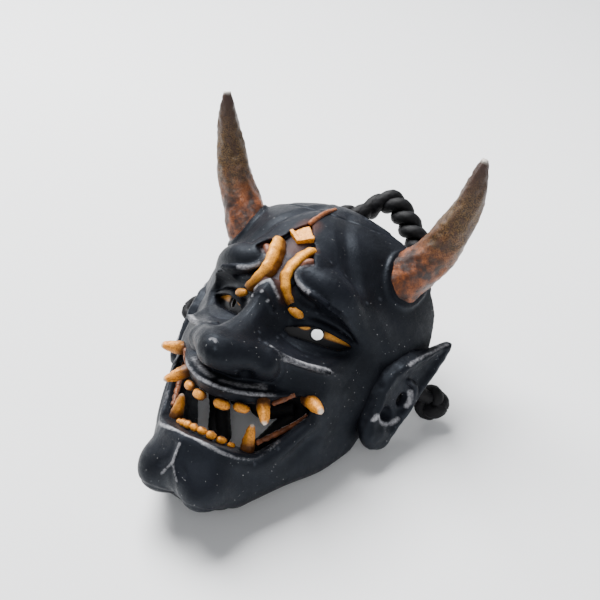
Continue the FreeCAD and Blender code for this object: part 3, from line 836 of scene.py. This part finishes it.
def touched(points, strokes):
    """How strongly each point is covered by soft brush strokes, the same on both sides of the face."""
    folded = points * (1, 1, 1)
    folded[:, 0] = np.abs(folded[:, 0])
    cover = np.zeros(len(points))
    for path, width, strength in strokes:
        course = resample(path, 14)
        low, high = course.min(0) - 3 * width, course.max(0) + 3 * width
        close = np.all((folded > low) & (folded < high), axis=1)
        gap = np.linalg.norm(folded[close][:, None, :] - course[None, :, :], axis=2).min(axis=1)
        cover[close] = np.maximum(cover[close], strength * np.exp(-(gap / width) ** 2))
    return cover


def cast_face():
    """The hollow painted shell that everything else sits on."""
    clay = sculpt(FINE)
    points, faces = skin(clay, True)
    shell = piece("face_shell", points, faces, BLACK, ["mask_shell"])
    mark(shell, "brushed_and_highlit", touched(points, RUBBED_AND_HIGHLIT))
    mark(shell, "stain_and_shade", touched(points, WASHED))


# ---- horns, ears, eyes and teeth
HORN_PITS = ((20.6, 27.4, 34.0), (27.0, 15.6, 27.6), (27.6, 15.6, 32.0), (31.8, 15.4, 35.0),
             (24.4, 16.0, 31.0))


def horns():
    """Horns that curve outward and forward, lumpy, with a few pits near the root and a chipped tip."""
    path = [(21.5, 23, 21, 5.2), (25.2, 22, 28, 6.1), (30.8, 20.5, 36.2, 5.5), (35, 16.8, 45, 4.5),
            (37.4, 12.4, 53.5, 3.1), (38.2, 8.6, 59.4, 1.6), (38.4, 7.5, 61.2, 0.9)]

    def knobbly(turn, travel):
        return 1.0 + 0.035 * np.sin(3 * turn + 0.35 * travel) + 0.02 * np.sin(7 * turn - 0.5 * travel)

    points, faces, along = bar(path, 56, 0.45, knobbly)
    points = roughened(points, 1.6, 0.22, 3.0)
    points = roughened(points, 0.7, 0.10, 9.0)
    for centre in HORN_PITS:
        away = points - np.array(centre)
        near = np.linalg.norm(away, axis=1)
        points = points + away / near[:, None] * (0.3 * np.exp(-(near / 0.9) ** 2))[:, None]
    tip = np.clip((along - 0.985) / 0.015, 0, 1)
    pair("horn", points, faces, BRONZE, marks={"along": along, "pale": tip * 0.8})


# The ear's own flat frame is across, up, and out of its plane, with its open side toward minus.
EAR_RUBBED = (
    # Where grey has been rubbed on: a path, its width and its strength.
    (((7.0, -4.0, -1.2), (7.2, -2.4, -1.4), (6.6, -0.2, -1.4)), 0.7, 1.0),
    (((0.4, -8.6, -1.6), (1.8, -9.9, -1.8), (4.2, -9.6, -1.6), (5.6, -8.0, -1.4)), 0.7, 1.0),
    (((3.4, 7.0, -1.6), (7.0, 11.0, -1.6), (12.4, 15.6, -1.2)), 0.7, 0.7),
    (((8.8, -2.0, -1.6), (11.6, 4.6, -1.6)), 0.5, 0.5),
)
EAR_EDGE = ((1.6, -17.4), (-1.0, -15.6), (-1.8, -12.2), (-1.3, -8.0), (-1.3, -4.0), (-0.6, 0.8),
            (1.2, 4.6), (6.0, 10.0), (12.6, 15.4), (14.2, 15.6), (13.2, 9.6), (10.8, 2.0), (8.8, -5.0),
            (6.4, -12.4), (4.8, -16.2), (1.6, -17.4))
EAR_FOLD = ((5.0, 2.0, -2.3, 1.0), (7.0, 5.6, -2.3, 1.4), (9.6, 9.8, -2.2, 1.1), (11.6, 13.4, -2.2, 0.6))
EAR_RIDGE = ((7.0, -6.6, -1.2, 0.7), (8.0, -2.6, -1.3, 0.8), (7.4, 1.2, -1.4, 0.8),
             (5.0, 2.6, -1.4, 0.6))
EAR_ROOT = ((0.6, -12.0, 2.4, 2.6), (0.8, -4.0, 2.6, 3.0), (2.6, 3.0, 2.6, 2.8), (6.4, 8.6, 2.0, 2.0))
# Each ear's side, sign of x, how far it is stretched, its angle to the face in degrees and its first x.
EAR_PLACES = (("right", 1, 1.31, 63.2, 31.2), ("left", -1, 1.22, 79.0, 30.2))


def outline_distance(outline, across, up):
    """Distance to a closed outline over a flat grid, negative inside."""
    inside = np.zeros(across.shape, bool)
    near = np.full(across.shape, 99.0)
    for (a0, u0), (a1, u1) in zip(outline[:-1], outline[1:]):
        da, du = a1 - a0, u1 - u0
        crosses = (u0 > up) != (u1 > up)
        inside ^= crosses & (across < da * (up - u0) / (du + 1e-9) + a0)
        t = np.clip(((across - a0) * da + (up - u0) * du) / (da ** 2 + du ** 2 + 1e-9), 0, 1)
        near = np.minimum(near, np.hypot(across - a0 - t * da, up - u0 - t * du))
    return np.where(inside, -near, near)


def sculpt_ear():
    """A pointed ear with a rolled edge, a hollow bowl with two holes, and a fold up to the point."""
    clay = Clay((-5.0, -20.0, -4.0), (15.0, 18.0, 6.0), 0.25)
    a, u, t = everywhere(clay)
    flat_a, flat_u = np.broadcast_arrays(a[:, :, 0], u[:, :, 0])
    flat = outline_distance(resample(EAR_EDGE, 6), flat_a, flat_u)[:, :, None]
    thick = 1.5 + 0.5 * np.exp(-((flat + 1.2) / 0.9) ** 2) - 0.5 * np.clip(-flat / 3.0, 0, 1)
    edge, face = flat + 1.0, np.abs(t) - thick + 1.0
    round_edge = np.sqrt(np.maximum(edge, 0) ** 2 + np.maximum(face, 0) ** 2) - 1.0
    clay.value = (round_edge + np.minimum(np.maximum(edge, face), 0)).astype(np.float32)
    clay.add(tube(clay, EAR_ROOT, 2.0), 2.0)
    clay.add(blob(clay, (1.8, -13.8, -0.2), (3.4, 3.6, 2.4), soft=1.4), 1.4)
    clay.cut(blob(clay, (4.2, -5.0, -2.6), (3.6, 5.4, 2.0), turn_z=-14, soft=0.8), 0.8)
    clay.cut(blob(clay, (5.4, -2.6, -2.0), (1.5, 2.3, 3.4), turn_z=-10, soft=0.3), 0.4)
    clay.cut(blob(clay, (2.4, -7.4, -2.2), (2.4, 2.2, 3.4), turn_z=20, soft=0.3), 0.4)
    clay.cut(tube(clay, EAR_FOLD, 0.6), 0.6)
    clay.add(tube(clay, EAR_RIDGE, 0.6), 0.6)
    return skin(clay, False)


def ears():
    """The two ears, each turned to lie back along its side of the head."""
    local, faces = sculpt_ear()
    for side, sign, stretch, flare, start in EAR_PLACES:
        flare = math.radians(flare)
        across, inward = stretch * local[:, 0], local[:, 2]
        x = sign * (start + math.cos(flare) * across - math.sin(flare) * inward)
        y = EAR_ROOT_Y + math.sin(flare) * across + math.cos(flare) * inward
        points = roughened(np.stack([x, y, local[:, 1]], 1), 2.2, 0.22, 11.0)
        thing = piece("shown_ear_" + side, points, [f[::sign] for f in faces], BLACK, ["ear_" + side])
        mark(thing, "brushed_and_highlit", touched(local, EAR_RUBBED))


def eyes():
    """A curved plate behind the lids with the pupil cut through; only its upper part is gilt."""
    clay = Clay((4.0, -2.0, 0.5), (23.5, 17.0, 10.0), 0.22)
    x, y, z = everywhere(clay)
    lid = np.interp(x[:, 0, 0], (4.0, 5.5, 7.0, 9.0, 12.8, 16.0, 20.0, 23.5),
                    (0.6, 1.0, 1.7, 2.6, 4.6, 7.2, 11.4, 15.0))
    front = lid[:, None, None] + 1.0 + 0.030 * (z - 5.8) ** 2
    plate = np.maximum(front - y, y - front - 1.5) * 0.75
    window = np.maximum(np.maximum(4.6 - x, x - 22.4), np.maximum(1.6 - z, z - 9.2))
    clay.value = np.maximum(plate, window).astype(np.float32)
    clay.cut(tube(clay, [(13.4, 2.0, 5.9, 1.25), (12.2, 12.0, 6.3, 1.7)], 0.3), 0.3)
    points, faces = skin(clay, False)
    x, z = points[:, 0], points[:, 2]
    outer = np.clip((x - 14.2) / 1.2, 0, 1) * np.clip((z - 5.6 - 0.02 * (x - 15.0)) / 0.7, 0, 1)
    inner = np.clip(1.0 - np.hypot((x - 9.6) / 1.7, (z - 7.0) / 1.0), 0, 1) * 4.0
    pair("eye", points, faces, EYE, marks={"stain_and_shade": 1.0 - np.clip(outer + inner, 0, 1)})


def tooth(name, path, seed):
    """A worn, slightly crooked tooth, darker towards its root, with a pale point."""
    def ribbed(turn, travel):
        return 1.0 + 0.05 * np.sin(2 * turn + seed) + 0.03 * np.sin(5 * turn + travel)

    points, faces, along = bar(path, 28, 0.18, ribbed)
    points = roughened(points, 0.9, 0.14, seed)
    stain_and_shade = np.clip((0.62 - along) / 0.30, 0, 1) * 0.9
    pale = np.clip((along - 0.92) / 0.06, 0, 1) * 0.8
    pair(name, points, faces, TOOTH, marks={"stain_and_shade": stain_and_shade, "pale": pale})


def fangs():
    """The upper and lower fangs and the tusks that stick out of the corners of the mouth."""
    tooth("upper_fang", [(10.6, -7.0, -12.4, 1.5), (11.7, -8.1, -14.1, 1.75), (13.4, -9.6, -16.0, 1.45),
                         (14.6, -10.8, -17.4, 0.85), (14.9, -11.1, -17.9, 0.3)], 2.0)
    tooth("lower_fang", [(10.9, -5.8, -27.2, 1.5), (10.8, -6.2, -25.4, 1.8), (10.6, -6.9, -22.6, 1.4),
                         (10.5, -7.5, -20.2, 0.8), (10.5, -7.7, -19.5, 0.3)], 5.0)
    tooth("corner_tusk", [(17.4, 2.2, -9.6, 1.6), (19.4, 0.8, -9.9, 1.9), (21.8, -0.8, -10.3, 1.7),
                          (23.8, -2.0, -10.8, 1.0), (24.4, -2.3, -11.0, 0.4)], 8.0)


# One worn front tooth from side to side: place across, how far forward, how far up and how thick.
TOOTH_STEPS = ((-1.0, 0.0, 0.1, 0.45), (-0.55, 0.3, 0.0, 0.92), (0.0, 0.5, -0.05, 1.0),
               (0.55, 0.3, 0.0, 0.92), (1.0, 0.0, 0.15, 0.45))


def worn_tooth(x, y, z, wide, high):
    """The path of one front tooth: a short bar that follows the curve of the jaw."""
    turn = math.radians(12 + 30 * x / 9.0)
    path = []
    for place, forward, up, thick in TOOTH_STEPS:
        run = 0.5 * wide * place
        path.append((x + run * math.cos(turn), y - forward + run * math.sin(turn), z + up, thick * high))
    return path


def incisors(node, centres):
    """A row of worn front teeth, written for the right half as centre x, y, z, width and half height."""
    points, faces, stain_and_shade = [], [], []
    for side in (1, -1):
        for i, centre in enumerate(centres):
            loops, loop_faces, along = bar(worn_tooth(*centre), 24, 0.16)
            foot = flanks(loops, 24, (0.35, -0.93, 0.0))
            loops = roughened(loops, 0.8, 0.13, 4.0 + i + side) * (side, 1, 1)
            start = sum(len(p) for p in points)
            faces += [tuple(start + k for k in f[::side]) for f in loop_faces]
            points.append(loops)
            # painted shade: each tooth darkens at its two ends and down its flanks to the foot, where it
            # meets its neighbours and the gum
            stain_and_shade.append(np.maximum(np.clip(np.abs(along - 0.5) * 5.0 - 1.5, 0, 1), foot) * 0.85)
    thing = piece("shown_" + node, np.vstack(points), faces, TOOTH, [node])
    mark(thing, "stain_and_shade", np.concatenate(stain_and_shade))


def front_teeth():
    """Four broad upper teeth and eight small lower ones."""
    incisors("upper_incisors", [(3.2, -12.3, -17.2, 4.0, 1.3), (7.5, -10.5, -16.4, 4.0, 1.2)])
    incisors("lower_incisors", [(1.1, -12.8, -24.9, 2.2, 1.0), (3.3, -12.0, -25.1, 2.2, 1.1),
                                (5.5, -10.4, -25.5, 2.3, 1.0), (7.6, -8.8, -26.0, 1.8, 0.8)])


# The brown saw-edged ridges inside the cheeks.
SIDE_RIDGES = {
    "upper_side_teeth": ((12.6, -5.0, -13.4, 0.5), (14.4, -4.6, -11.6, 0.75), (16.6, -3.2, -9.4, 0.5)),
    "lower_side_teeth": ((12.6, -6.2, -23.6, 0.6), (15.0, -2.6, -20.4, 0.7), (17.6, 1.4, -16.6, 0.65),
                         (19.0, 3.0, -13.6, 0.4)),
}


def side_teeth():
    """Small teeth run together into a ridge, above and below."""
    def serrated(turn, travel):
        return 1.0 + 0.22 * np.sin(travel * 2.6) * (0.5 + 0.5 * np.cos(turn))

    for node, path in SIDE_RIDGES.items():
        points, faces, along = bar(path, 16, 0.2, serrated)
        points = roughened(points, 0.8, 0.15, 6.0)
        pair(node, points, faces, COPPER, marks={"stain_and_shade": 0.35 + 0.3 * np.sin(9.0 * along) ** 2})


# ---- gilt relief on the forehead
def scrolls():
    """The two broad gilt bands that sweep down the forehead to the inner corners of the eyes."""
    def band(turn, travel):
        return 1.0 / np.sqrt(np.cos(turn) ** 2 + (np.sin(turn) / 0.62) ** 2) + 0.04 * np.sin(travel * 1.9)

    path = [(5.3, 3.8, 25.9, 1.5), (4.4, 2.7, 25.0, 2.2), (3.4, 1.1, 22.8, 2.5),
            (2.6, -0.6, 19.8, 2.45), (2.6, -1.7, 17.4, 2.3), (3.5, -2.1, 14.9, 2.1),
            (4.9, -1.9, 12.8, 1.8), (6.4, -1.4, 11.2, 1.3)]
    points, faces, along = bar(path, 32, 0.25, band)
    foot = flanks(points, 32, (0.0, -0.88, 0.47))
    points = roughened(points, 1.0, 0.12, 1.0)
    # painted shade: the band darkens down its flanks to its foot on the forehead; it also darkens towards
    # its lower end
    stain_and_shade = np.maximum(foot * 0.85, np.clip((along - 0.62) / 0.38, 0, 1) * 0.8)
    pair("forehead_scroll", points, faces, GILT, marks={"stain_and_shade": stain_and_shade})


def curls_and_beads():
    """The brown curl beside each scroll and the gilt bead below it."""
    curl = [(8.0, 1.9, 22.6, 0.5), (7.0, 1.2, 22.9, 1.0), (5.7, 0.5, 22.2, 1.1), (4.9, -0.2, 20.6, 0.8),
            (4.6, -0.9, 18.6, 0.4)]
    points, faces, along = bar(curl, 24, 0.25)
    pair("brow_curl", roughened(points, 0.9, 0.12, 2.0), faces, CURL, marks={"stain_and_shade": along * 0.3})
    bead = [(6.3, -1.5, 9.9, 0.4), (7.0, -1.2, 9.8, 0.9), (8.2, -0.7, 9.5, 1.15), (9.4, 0.1, 9.2, 0.95),
            (10.0, 0.6, 9.1, 0.3)]
    points, faces, along = bar(bead, 20, 0.2)
    stain_and_shade = np.full(len(points), 0.45)
    pair("tear_bead", roughened(points, 0.8, 0.1, 3.0), faces, GILT, marks={"stain_and_shade": stain_and_shade})


def seam():
    """The copper seam that runs back over the crown."""
    path = [(0, 7.2, 32.4, 0.5), (0, 7.6, 33.2, 0.75), (0, 10.4, 35.2, 0.7), (0, 14.4, 37.6, 0.65),
            (0, 19.8, 39.9, 0.5)]
    points, faces, along = bar(path, 16, 0.25)
    piece("shown_crown_seam", roughened(points, 1.0, 0.12, 5.0), faces, COPPER, ["crown_seam"])


def plate():
    """The gilt plate, a kite with a raised rim along its two lower edges, tilted with the brow."""
    clay = Clay((-5.0, -2.5, -4.0), (5.0, 3.0, 5.4), 0.14)
    x, y, z = everywhere(clay)
    upper_edge = (np.abs(x) * 4.0 + z * 3.8 - 15.2) / 5.52
    lower_edge = (np.abs(x) * 2.7 - z * 3.8 - 10.3) / 4.66
    kite = np.maximum(upper_edge, lower_edge) + 0.0 * y
    sheet = np.maximum(kite, np.maximum(-0.1 - y, y - 1.4)).astype(np.float32)
    rim = np.maximum(np.maximum(kite, -lower_edge - 1.0), np.maximum(-0.7 - y, y - 1.0))
    clay.value = smooth_union(sheet, rim.astype(np.float32), 0.4)
    local, faces = skin(clay, False)
    local = roughened(local, 1.1, 0.14, 7.0)
    tilt = math.radians(-35.0)
    y, z = local[:, 1].copy(), local[:, 2].copy()
    local[:, 1] = y * math.cos(tilt) - z * math.sin(tilt) + 5.0
    local[:, 2] = y * math.sin(tilt) + z * math.cos(tilt) + 28.9
    piece("shown_forehead_plate", local, faces, GILT, ["forehead_plate"])


# ---- the cord
def braid(turn, travel):
    """Strands that cross over each other around the cord."""
    return 0.93 + 0.11 * np.abs(np.sin(3 * turn + 1.9 * travel) * np.sin(3 * turn - 1.9 * travel)) ** 0.5


# The middle line of the cord's arch, from the left side over the crown to the right.
ARCH_LINE = ((-26.6, 28.0, 14.4), (-26.0, 33.6, 17.6), (-26.0, 35.6, 24.0), (-23.0, 35.4, 31.0),
             (-16.0, 35.0, 36.5), (-6.0, 34.6, 39.5), (2.0, 34.4, 42.0), (5.6, 34.2, 46.4),
             (9.8, 34.0, 48.6), (13.6, 34.0, 46.6), (18.0, 34.0, 42.8), (22.0, 34.4, 38.4),
             (25.0, 35.0, 31.6), (26.0, 35.6, 24.0), (26.0, 33.6, 17.6), (26.6, 28.0, 14.4))


def arch():
    """Two strands twisted around each other, low behind the crown and humped up on the right."""
    course = resample(ARCH_LINE, 14)
    travel = np.concatenate([[0], np.cumsum(np.linalg.norm(np.diff(course, axis=0), axis=1))])
    backward = np.array((0, 1.0, 0))
    for node, phase in (("cord_strand_front", 0.0), ("cord_strand_rear", math.pi)):
        path = []
        for k in range(0, len(course), 3):
            angle = phase - 0.5 * math.pi + (travel[k] / travel[-1] - 0.5) * 2 * math.pi * TWISTS
            outward = course[k] * (1, 0, 1) - np.array((0, 0, 12.0))
            outward = outward / np.linalg.norm(outward)
            centre = course[k] + 1.85 * (math.cos(angle) * outward + math.sin(angle) * backward)
            path.append((*centre, CORD_R))
        points, faces, along = bar(path, 24, 0.35, braid)
        piece("shown_" + node, points, faces, CORD, [node], "cord")


def leads():
    """The cord from the arch's foot down inside the wall and out through the hole behind the ear."""
    line = [(28.8, 27.0, 13.8), (31.4, 28.4, 8.0), (32.2, 29.0, 2.8), (33.6, 29.6, 0.5),
            (36.4, 32.4, 0.2), (39.4, 35.6, -0.4)]
    points, faces, along = bar([(*point, CORD_R) for point in line], 24, 0.3, braid)
    pair("cord_lead", points, faces, CORD)


def tails():
    """The loose end inside the mask, which falls behind the mouth and loops back up."""
    path = [(29, 23.0, 10.0, 1.9), (25.0, 22.0, 7.0, 1.9), (20.6, 21.0, 5.6, 2.0),
            (19.4, 18.6, -3.0, 2.0), (14.4, 15.6, -12.6, 2.0), (10.4, 13.6, -18.6, 2.1),
            (7.4, 13.0, -24.6, 2.1), (5.0, 13.0, -29.4, 2.0), (8.4, 13.6, -28.4, 2.0),
            (10.6, 14.4, -23.0, 2.1), (13.6, 14.0, -16.8, 2.1), (13.2, 13.0, -12.2, 2.1),
            (9.0, 12.6, -12.6, 2.1), (3.4, 12.2, -15.4, 2.1), (1.0, 12.0, -16.8, 2.0),
            (3.6, 12.4, -18.6, 2.0), (11.8, 12.6, -14.6, 2.0)]
    points, faces, along = bar(path, 24, 0.3, braid)
    pair("cord_tail", points, faces, CORD)


def knots():
    """A trefoil knot that stops the cord outside its hole."""
    path = []
    for k in range(25):
        turn = 2 * math.pi * k / 24.0
        reach = 2.35 + 0.85 * math.cos(3 * turn)
        x = 40.0 + reach * math.cos(2 * turn)
        y = 37.2 + 1.1 * math.sin(3 * turn)
        z = -1.4 + 1.05 * reach * math.sin(2 * turn)
        path.append((x, y, z, 1.85))
    points, faces, along = bar(path, 24, 0.3, braid)
    pair("stopper_knot", points, faces, CORD)


cast_face()
horns()
ears()
eyes()
fangs()
front_teeth()
side_teeth()
scrolls()
curls_and_beads()
seam()
plate()
arch()
leads()
tails()
knots()
for node in frame["nodes"].values():
    node.data.materials.clear()
    node.data.materials.append(BLACK)


# ---- camera, floor and light
def camera():
    """The photo's view: from the front, to the viewer's right and a little above."""
    data = bpy.data.cameras.new("camera")
    data.lens = 51.0
    data.sensor_width = 36.0
    thing = bpy.data.objects.new("camera", data)
    bpy.context.scene.collection.objects.link(thing)
    thing.location = ROW @ Vector((92.2, -197.8, 12.8))
    look = ROW @ Vector((6.6, 2.8, 12.9)) - thing.location
    thing.rotation_euler = look.to_track_quat("-Z", "Y").to_euler()
    bpy.context.scene.camera = thing


def floor():
    """A pale sheet that runs under the object and curves up behind it, painted darker behind the object
    as painted shade.
    """
    curve = [(y, 0.0) for y in (-2.0, 0.0, 0.9)]
    curve += [(0.9 + 0.8 * math.sin(a), 0.8 - 0.8 * math.cos(a)) for a in np.linspace(0.1, 1.5, 16)]
    curve.append((1.7, 3.0))
    points = [(x, y, z) for y, z in curve for x in (-3.0, 3.0)]
    faces = [(2 * i, 2 * i + 1, 2 * i + 3, 2 * i + 2) for i in range(len(curve) - 1)]
    mesh = bpy.data.meshes.new("floor")
    mesh.from_pydata(points, [], faces)
    mesh.shade_smooth()
    thing = bpy.data.objects.new("floor", mesh)
    bpy.context.scene.collection.objects.link(thing)
    material, tree, shader = shader_of("paper")
    shade = blend(tree, noise(tree, 0.004), (0.82, 0.83, 0.84), (0.86, 0.865, 0.87))
    where = tree.nodes.new("ShaderNodeSeparateXYZ")
    tree.links.new(tree.nodes.new("ShaderNodeTexCoord").outputs["Object"], where.inputs[0])
    # painted shade: the paper darkens from Y 0.14 to 0.45 behind the object, standing in for the light
    # falling off
    shade = blend(tree, ramp(tree, where.outputs["Y"], 0.14, 0.45), shade, (0.56, 0.57, 0.59))
    tree.links.new(shade, shader.inputs["Base Color"])
    shader.inputs["Roughness"].default_value = 0.85
    shader.inputs["Specular IOR Level"].default_value = 0.2
    mesh.materials.append(material)


def light(name, location, size, power):
    """A square lamp aimed at the object, in metres and watts."""
    data = bpy.data.lights.new(name, "AREA")
    data.size = size
    data.energy = power
    thing = bpy.data.objects.new(name, data)
    bpy.context.scene.collection.objects.link(thing)
    thing.location = location
    thing.rotation_euler = (Vector((0, 0, 0.03)) - Vector(location)).to_track_quat("-Z", "Y").to_euler()


def room():
    """Faint cool light from all around."""
    world = bpy.data.worlds.new("room")
    world.use_nodes = True
    background = world.node_tree.nodes["Background"]
    background.inputs[0].default_value = (0.93, 0.96, 1.0, 1)
    background.inputs[1].default_value = 0.31
    bpy.context.scene.world = world


camera()
floor()
light("window", (-0.45, 0.30, 0.85), 0.6, 37.0)
light("front_fill", (0.45, -0.6, 0.7), 0.6, 3.0)
room()
